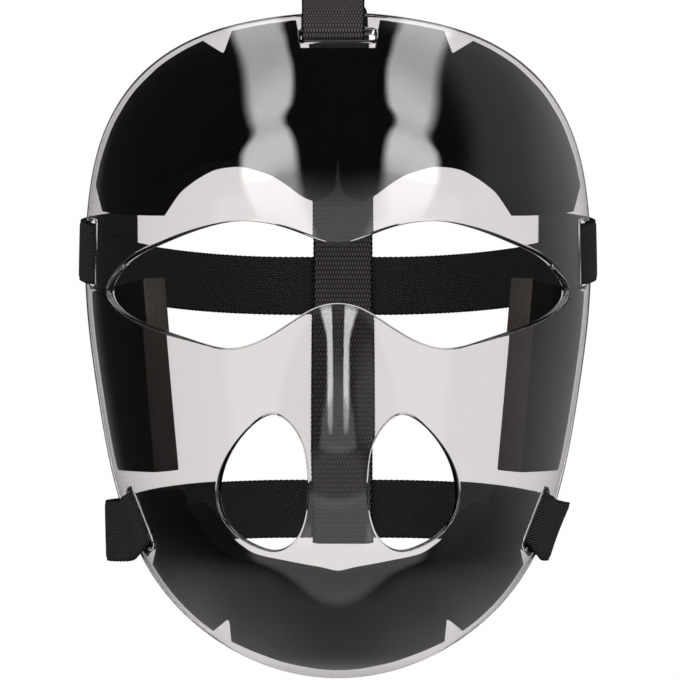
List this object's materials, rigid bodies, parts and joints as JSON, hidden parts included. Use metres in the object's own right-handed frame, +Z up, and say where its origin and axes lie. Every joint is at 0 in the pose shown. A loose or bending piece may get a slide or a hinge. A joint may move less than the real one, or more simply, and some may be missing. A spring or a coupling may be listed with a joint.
{
  "type": "field hockey face mask",
  "caption": "Clear moulded face mask with a wide eye opening, breathing holes and black foam pads, held by elastic straps round the head and a webbing strap over it.",
  "frame": {"origin": "head seat: on the mid-plane, at eye height, on the plane of the forehead pad's inner face", "axes": "+Z up as worn, -Y the way the face looks, +X to the right of a viewer in front"},
  "size_m": [0.196, 0.2343, 0.2525],
  "materials": {
    "clear_shell": "clear polished",
    "black_foam": "matt closed-cell foam",
    "black_elastic": "woven elastic",
    "black_webbing": "ribbed webbing"
  },
  "bodies": {
    "root": {"shell": "clear_shell", "forehead_pad": "black_foam", "cheek_pad_left": "black_foam", "cheek_pad_right": "black_foam", "chin_pad": "black_foam", "upper_strap": "black_elastic", "lower_strap": "black_elastic", "crown_strap": "black_webbing"}
  },
  "joints": []
}
